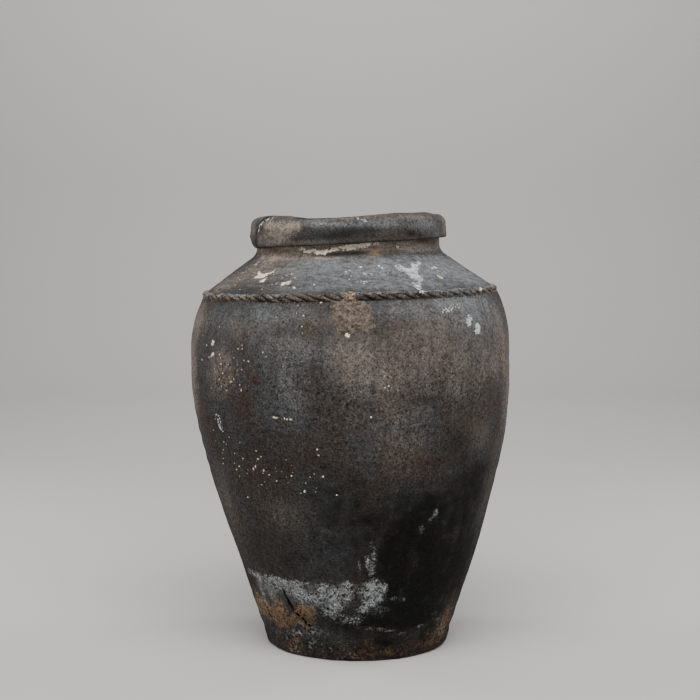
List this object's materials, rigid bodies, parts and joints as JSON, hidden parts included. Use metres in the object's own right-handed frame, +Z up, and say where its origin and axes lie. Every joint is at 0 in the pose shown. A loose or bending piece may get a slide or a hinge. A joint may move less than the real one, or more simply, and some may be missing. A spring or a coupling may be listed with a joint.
{
  "type": "storage jar",
  "caption": "Tall wide-bellied clay storage jar with a flat base, a sloping shoulder edged by a rope moulding, a short neck and a thick strap rim round its open mouth.",
  "frame": {"origin": "centre of the base, on the floor that the jar stands on", "axes": "+Z up along the jar's axis and out of its mouth; -Y towards the front, where the dried clay patch is; +X to the right seen from the front"},
  "size_m": [0.6709, 0.6713, 0.9],
  "materials": {
    "jar_clay": "matte",
    "rope_clay": "matte",
    "patch_mortar": "matte"
  },
  "bodies": {
    "root": {"base_slab": "jar_clay", "foot_ring": "jar_clay", "lower_wall_ring": "jar_clay", "middle_wall_ring": "jar_clay", "belly_ring": "jar_clay", "upper_belly_ring": "jar_clay", "shoulder_ring": "jar_clay", "neck_ring": "jar_clay", "rim_band": "jar_clay", "rope_moulding": "rope_clay", "clay_patch": "patch_mortar"}
  },
  "joints": []
}
